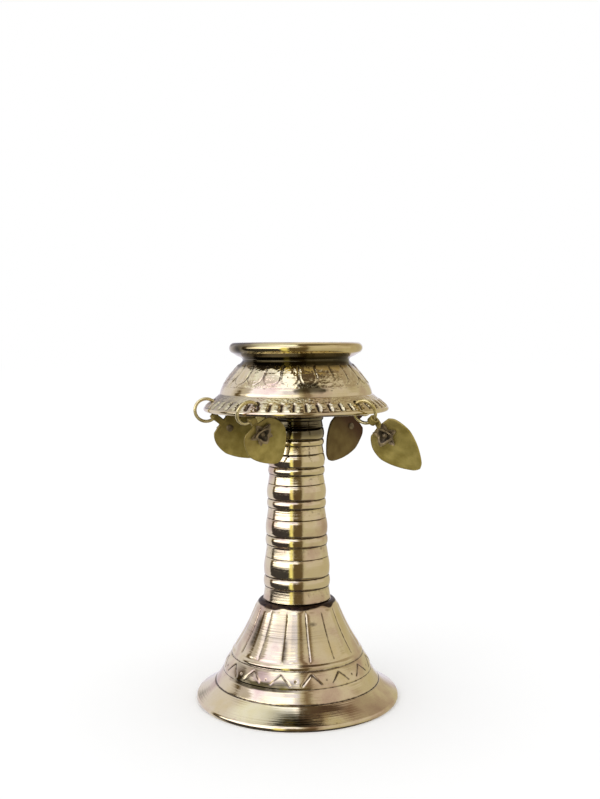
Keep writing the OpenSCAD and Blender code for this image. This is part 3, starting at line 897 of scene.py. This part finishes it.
def leaf_frame(i):
    """Middle of a leaf's eye and its axes: the ring's frame swung to the leaf's stored angle from plumb."""
    centre, axes = ring_frame(i)
    swing = np.radians(LEAF_OUT_LIMIT - joints[f"leaf_{i}_swing"]["range_deg"][1])
    away = np.cos(swing) * axes[0] + np.sin(swing) * axes[2]
    up = np.cos(swing) * axes[2] - np.sin(swing) * axes[0]
    return centre - RING_R * up, np.stack([away, axes[1], up])


def flower_frame(i, side):
    """Middle of a flower's seat on its leaf and its axes: X across the leaf, Y along it, Z off its face."""
    origin, axes = leaf_frame(i)
    centre = origin - FLOWER_DROP * axes[2] + side * axes[1] * LEAF_T / 2
    return centre, np.stack([axes[0], side * axes[2], side * axes[1]])


def make_ring(i):
    """Torus: a circle of wire carried round a circle, with a fine groove at its butt joint."""
    centre, axes = ring_frame(i)
    turn, tube = full_turn(RING_STEPS)[:, None], full_turn(WIRE_STEPS)[None, :]
    wire = WIRE_D / 2 - BUTT_DEPTH * groove((turn - BUTT_TURN) * RING_R, BUTT_W)
    reach = RING_R + wire * np.cos(tube)
    points = centre + np.stack([reach * np.cos(turn), wire * np.sin(tube), reach * np.sin(turn)], 2) @ axes
    quads = grid_quads(RING_STEPS, WIRE_STEPS, True)
    make_piece(f"ring_{i}_wire", points, quads, f"ring_{i}_body", f"ring_{i}", "wire", WIRE)


def leaf_half_width(z):
    """Half width of a leaf at a height: a narrow stalk, a broad shoulder, and sides drawn in to a blunt tip.

    The sides are two Bezier curves, and a circle rounds the last stretch at the tip.
    """
    wide_z = -mix(STALK_L, LEAF_L, 0.42)
    tip = bend((LEAF_TIP_R, -LEAF_L), (LEAF_W * 0.41, mix(wide_z, -LEAF_L, 0.54)),
               (LEAF_W / 2 - 0.02, wide_z - 0.5), 40)
    body = bend((LEAF_W / 2, wide_z), (LEAF_W / 2, -STALK_L - 0.6), (STALK_W / 2, -STALK_L), 40)
    outline = np.vstack([tip, body])
    short = np.clip(1 - (z + LEAF_L) / LEAF_TIP_R, 0, 0.98)
    return np.interp(z, outline[:, 1], outline[:, 0]) * np.sqrt(1 - short ** 2)


def leaf_path():
    """Middle line of a leaf's sheet, sideways and up: blade, smooth step aside, and a circle as the eye."""
    roll_r = EYE_R + EYE_WALL / 2
    blade_z = -LEAF_L + (LEAF_L - STALK_L - STEP_L) * np.linspace(0, 1, BLADE_ROWS) ** 1.25
    step = np.linspace(0, 1, 9)[1:]
    eye = arc((0, 0), roll_r, -4, 296, 34)
    path_y = np.concatenate([np.zeros(BLADE_ROWS), roll_r * smooth(0, 1, step), eye[:, 0]])
    path_z = np.concatenate([blade_z, mix(blade_z[-1], STEP_TOP, step), eye[:, 1]])
    return path_y, path_z


def make_leaf(i, side):
    """Sheet leaf: a flat section with rounded edges carried along the leaf's middle line.

    The blade is cupped by the square of the distance from its middle, fading out towards the stalk.
    """
    origin, axes = leaf_frame(i)
    path_y, path_z = leaf_path()
    slant_y, slant_z = np.gradient(path_y), np.gradient(path_z)
    size = np.hypot(slant_z, slant_y)
    half = leaf_half_width(path_z)
    half[BLADE_ROWS + 2:] = STALK_W / 2
    thick = np.full(len(path_z), LEAF_T / 2)
    thick[BLADE_ROWS:] = np.linspace(LEAF_T / 2, EYE_WALL / 2, len(path_z) - BLADE_ROWS)
    thick[:3] *= np.array([0.35, 0.7, 0.9])

    # Section, as shares: across the flat, out past its end, and off the middle line
    across, flat = np.linspace(-1, 1, 21), np.zeros(21)
    edge = np.radians(np.linspace(75, -75, 5))
    section_x = np.concatenate([across, np.ones(5), -across, -np.ones(5)])
    section_end = np.concatenate([flat, np.cos(edge), flat, -np.cos(edge)])
    section_off = np.concatenate([flat + 1, np.sin(edge), flat - 1, -np.sin(edge)])
    x = np.maximum(half - thick, 0.05)[:, None] * section_x + thick[:, None] * section_end
    off = thick[:, None] * section_off
    cup = LEAF_CUP * (x / (LEAF_W / 2)) ** 2 * smooth(-STALK_L - 1, -STALK_L - 7, path_z)[:, None]
    y = side * (cup - path_y[:, None] - (slant_z / size)[:, None] * off)
    z = path_z[:, None] - (slant_y / size)[:, None] * off
    points = capped(np.stack([x, y, z], 2))
    # Painted shade: each leaf is darker on its upper part, towards the stalk
    tarnish = LEAF_AGE_AND_SHADE[i - 1] + 0.3 * smooth(-0.55 * LEAF_L, -0.2 * LEAF_L, points[..., 2])
    quads = grid_quads(*points.shape[:2], False)
    make_piece(f"leaf_{i}_sheet", origin + points @ axes, quads, f"leaf_{i}_body", f"leaf_{i}", "leaf", SHEET,
               sharp=50, tarnish=tarnish)


def petal_whorl(petals, radius, turn, slim, low, lift, cupped):
    """One whorl of pointed petals on a polar grid, and the shade painted on it.

    The radius falls from each tip by a power of the angle from it. Flat petals rise with the square of the
    share of the way out; a cup stands up steeply and turns out at its rim. A second sheet below closes it.
    """
    rings = 22
    angle = full_turn(petals * 24)[None, :]
    point = 1 - np.abs(nearest(np.degrees(angle), petals)) * petals / 180
    outline = radius * mix(slim, 1, point ** 1.25)
    share = np.concatenate([np.linspace(0, 1, rings), np.linspace(0.97, 0, rings)])[:, None]
    top = np.concatenate([np.ones(rings), np.zeros(rings)])[:, None]
    reach = outline * mix(share, 0.76 * share ** 0.5 + 0.24 * share ** 7, cupped)
    keel = 0.3 * np.sin(np.pi * share) * point ** 4 * top * (1 - cupped)
    rise = mix(share ** 2, np.sin(np.pi / 2 * share ** 1.5), cupped) * mix(0.6, 1, point)
    height = low + lift * rise + 0.6 * top * (1 - 0.3 * share) - keel
    angle = angle + np.radians(turn)
    # Painted shade: flat petals darker towards the middle under the cup, and the cup darker inside
    dark = top * mix(0.5 * (1 - smooth(0.4, 0.8, share)), 0.8 * (1 - smooth(0.72, 0.86, share)), cupped)
    points = np.stack([reach * np.cos(angle), reach * np.sin(angle), height], 2)
    return points, np.broadcast_to(dark, reach.shape)


def make_flower(i, side):
    """Cast flower: five slim pointed petals flat on the leaf, and an open three-cornered cup on them."""
    centre, axes = flower_frame(i, side)
    petals, petals_shade = petal_whorl(5, FLOWER_R * 0.95, turn=90, slim=0.5, low=0.1, lift=0.7, cupped=0)
    cup, cup_shade = petal_whorl(3, FLOWER_R * 0.74, turn=40, slim=0.6, low=0.4, lift=2.3, cupped=1)
    points = np.vstack([petals.reshape(-1, 3), cup.reshape(-1, 3)])
    quads = np.vstack([grid_quads(*petals_shade.shape, False),
                       grid_quads(*cup_shade.shape, False) + petals_shade.size])
    tarnish = np.concatenate([petals_shade.reshape(-1), cup_shade.reshape(-1)])
    make_piece(f"flower_{i}_cast", centre + points @ axes, quads, f"leaf_{i}_body", f"flower_{i}", "flower",
               CAST, tarnish=tarnish)


def make_rivet(i, side):
    """Rivet: a domed head in the heart of the flower, a shank, and a flat hammered tail behind the leaf."""
    centre, axes = flower_frame(i, side)
    profile = np.vstack([
        [(0, RIVET_HEAD_Z + RIVET_HEAD_R)],
        arc((0, RIVET_HEAD_Z), RIVET_HEAD_R, 80, 5, 8),
        [(RIVET_SHANK_R, RIVET_HEAD_Z - 0.1), (RIVET_SHANK_R, -LEAF_T)],
        [(RIVET_TAIL_R - 0.1, -LEAF_T - 0.02), (RIVET_TAIL_R, -LEAF_T - 0.25)],
        [(RIVET_TAIL_R - 0.3, -LEAF_T - 0.45), (0, -LEAF_T - 0.5)]])
    shape = (len(profile), RIVET_COLUMNS)
    points = turned_points(profile, np.zeros(shape))
    quads = grid_quads(*shape, False)
    make_piece(f"rivet_{i}_dome", centre + points @ axes, quads, f"leaf_{i}_body", f"rivet_{i}", "flower",
               CAST, sharp=40, tarnish=np.full(shape, 0.4))


make_foot()
make_stem()
make_bowl_head()
for i in PENDANTS:
    ring_middle, ring_axes = ring_frame(i)
    flower_side = np.sign((np.mean(span(f"flower_{i}"), 0) - ring_middle) @ ring_axes[1])
    make_ring(i)
    make_leaf(i, flower_side)
    make_flower(i, flower_side)
    make_rivet(i, flower_side)


# Studio: pale floor, white surround, two soft lamps, and cards that only the metal sees

CAMERA_ANGLE = -100.0
CAMERA_AWAY = 460.9
CAMERA_HEIGHT = 166.8
CAMERA_ASIDE = 1.8
CAMERA_PITCH = 3.5
CAMERA_ROLL = -0.25
LENS = 45.05
SENSOR_W = 36.0
CAMERA_WAY = np.array([np.cos(np.radians(CAMERA_ANGLE)), np.sin(np.radians(CAMERA_ANGLE)), 0])
CAMERA_RIGHT = np.cross(UP, CAMERA_WAY)
FLOOR_HALF = 6000.0
CARDS_R = 3000.0
BEARINGS = 360
ELEVATIONS = 180
AIM_HEIGHT = 90.0
# Each lamp: name, place, size in metres and power in watts
LAMPS = (("top_lamp", 2500 * UP, 3.0, 2.0),
         ("soft_box", 900 * CAMERA_WAY - 900 * CAMERA_RIGHT + 1000 * UP, 0.8, 1.5))

# Light of the cards, as linear red, green and blue
SHADES = {
    "tan": (0.6, 0.545, 0.42), "straw": (0.7, 0.635, 0.57), "dun": (0.44, 0.37, 0.29),
    "pale": (0.82, 0.8, 0.92), "grey": (0.4, 0.39, 0.45), "dusk": (0.62, 0.58, 0.62),
    "haze": (1.0, 1.05, 1.12), "mauve": (1.0, 1.0, 1.4), "sheen": (1.38, 1.35, 1.78),
    "gleam": (1.4, 1.48, 1.8), "blaze": (2.0, 2.0, 2.2), "window": (2.6, 2.55, 2.7),
    "amber": (1.15, 1.08, 0.42), "umber": (0.26, 0.19, 0.13), "brown": (0.14, 0.1, 0.05),
    "zenith": (0.16, 0.16, 0.15), "attic": (0.12, 0.085, 0.055), "black": (0.06, 0.055, 0.06)}
# Each card: shade, left and right bearing from the camera, low and high elevation, softness of edges.
# A later card covers an earlier one.
CARDS = (
    ("pale", -188, -104, -40, 62, 6),
    ("grey", -174, -150, 10, 42, 4),
    ("straw", 26, 95, 25, 52, 6),
    ("straw", 30, 108, 0, 22, 5),
    ("dun", 98, 152, 30, 58, 8),
    ("haze", -132, 3, 48, 84, 5),
    ("window", -106, 4, 1, 24, 3),
    ("sheen", -80, -20, 22, 47, 4),
    ("mauve", -22, 3, 24, 50, 4),
    ("dusk", -112, -80, 12, 44, 5),
    ("gleam", -52, 2, 60, 81, 4),
    ("zenith", -140, 12, 80, 95, 3),
    ("haze", 150, 232, 78, 86, 3),
    ("blaze", -62, -6, 47, 59, 3),
    ("blaze", -12, 2, 62, 79, 3),
    ("umber", 97, 122, 50, 62, 4),
    ("attic", 6, 102, 56, 95, 5),
    ("brown", -106, -92, -2, 20, 3),
    ("brown", -104, -95, 13, 28, 2),
    ("black", -105, -18, -52, 1, 2),
    ("amber", -26, -14, -40, 16, 3),
    ("brown", -14, 22, -52, 18, 3),
    ("umber", 11, 24, 18, 60, 3),
    ("pale", 160, 186, -20, 50, 6),
    ("black", -180, 180, -95, -44, 10))


def aimed(place, look):
    """Matrix of a camera or lamp at a place in millimetres that looks along a direction, with its top up."""
    turn = Vector(look).to_track_quat("-Z", "Y").to_matrix().to_4x4()
    return Matrix.Translation(Vector(place * MM)) @ turn


def make_camera():
    """Camera level with the lip, looking slightly down, at the distance that fits the photo's ellipses."""
    data = bpy.data.cameras.new("camera")
    data.lens = LENS
    data.sensor_width = SENSOR_W
    camera = new_object("camera", data)
    place = CAMERA_AWAY * CAMERA_WAY + CAMERA_ASIDE * CAMERA_RIGHT + CAMERA_HEIGHT * UP
    pitch = np.radians(CAMERA_PITCH)
    look = -np.cos(pitch) * CAMERA_WAY - np.sin(pitch) * UP
    camera.matrix_world = aimed(place, look) @ Matrix.Rotation(np.radians(CAMERA_ROLL), 4, "Z")
    bpy.context.scene.camera = camera


def stage_object(name, points, quads, material):
    """A stage mesh from points in millimetres and quads."""
    mesh = bpy.data.meshes.new(name)
    mesh.from_pydata((points.reshape(-1, 3) * MM).tolist(), [], quads.tolist())
    mesh.materials.append(material)
    thing = new_object(name, mesh)
    return thing


def make_floor():
    """Wide plain floor of matt white paper, which takes the lamp's soft shadow."""
    material, tree = new_material("matt_white_paper")
    shader = add(tree, "BsdfDiffuse", {"Color": colour("#FFFFFF")})
    add(tree, "OutputMaterial", {"Surface": shader.outputs[0]})
    corners = FLOOR_HALF * np.array([(-1, -1, 0), (1, -1, 0), (1, 1, 0), (-1, 1, 0)])
    floor = stage_object("floor", corners, np.array([[0, 1, 2, 3]]), material)
    floor.visible_glossy = False


def card_share(bearing, elevation, left, right, low, high, soft):
    """Share of a card over the surround: 1 between its sides and between its heights, with soft edges."""
    half = (right - left) / 2
    away = np.abs(nearest(bearing - (left + right) / 2, 1))
    level = smooth(low - soft, low + soft, elevation) * (1 - smooth(high - soft, high + soft, elevation))
    return (1 - smooth(half - soft, half + soft, away)) * level


def make_cards():
    """Surround that only reflections see: a tan sphere of directions with a few plain cards laid on it.

    Each card is a smooth patch in bearing from the camera and in elevation above the floor.
    """
    bearing = np.linspace(-180, 180, BEARINGS, endpoint=False)[None, :]
    elevation = np.linspace(-89.5, 89.5, ELEVATIONS)[:, None]
    light = np.ones((ELEVATIONS, BEARINGS, 1)) * np.array(SHADES["tan"])
    for shade, *sides in CARDS:
        light = mix(light, np.array(SHADES[shade]), card_share(bearing, elevation, *sides)[..., None])
    turn, rise = np.radians(CAMERA_ANGLE + bearing), np.radians(elevation)
    points = CARDS_R * np.stack([np.cos(rise) * np.cos(turn), np.cos(rise) * np.sin(turn),
                                 np.sin(rise) * np.ones_like(turn)], 2)
    material, tree = new_material("studio_cards")
    tone = add(tree, "Attribute", attribute_name="shade").outputs["Color"]
    shader = add(tree, "Emission", {"Color": tone, "Strength": 1.0})
    add(tree, "OutputMaterial", {"Surface": shader.outputs[0]})
    cards = stage_object("studio_cards", points, grid_quads(ELEVATIONS, BEARINGS, False), material)
    colours = np.concatenate([light, np.ones((ELEVATIONS, BEARINGS, 1))], 2)
    attribute = cards.data.attributes.new("shade", "FLOAT_COLOR", "POINT")
    attribute.data.foreach_set("color", colours.astype(np.float32).ravel())
    cards.visible_camera = cards.visible_diffuse = cards.visible_transmission = cards.visible_shadow = False


def make_light():
    """White surround, a wide soft lamp overhead and a soft box at the left front, which light the floor."""
    world = bpy.data.worlds.new("white_studio")
    world.use_nodes = True
    background = world.node_tree.nodes["Background"]
    background.inputs["Color"].default_value = colour("#FFFFFF")
    background.inputs["Strength"].default_value = 1.0
    bpy.context.scene.world = world
    for name, place, size, power in LAMPS:
        data = bpy.data.lights.new(name, "AREA")
        data.size = size
        data.energy = power
        lamp = new_object(name, data)
        lamp.matrix_world = aimed(place, AIM_HEIGHT * UP - place)
        lamp.visible_glossy = False


make_camera()
make_floor()
make_cards()
make_light()
bpy.context.scene.view_settings.view_transform = "Standard"
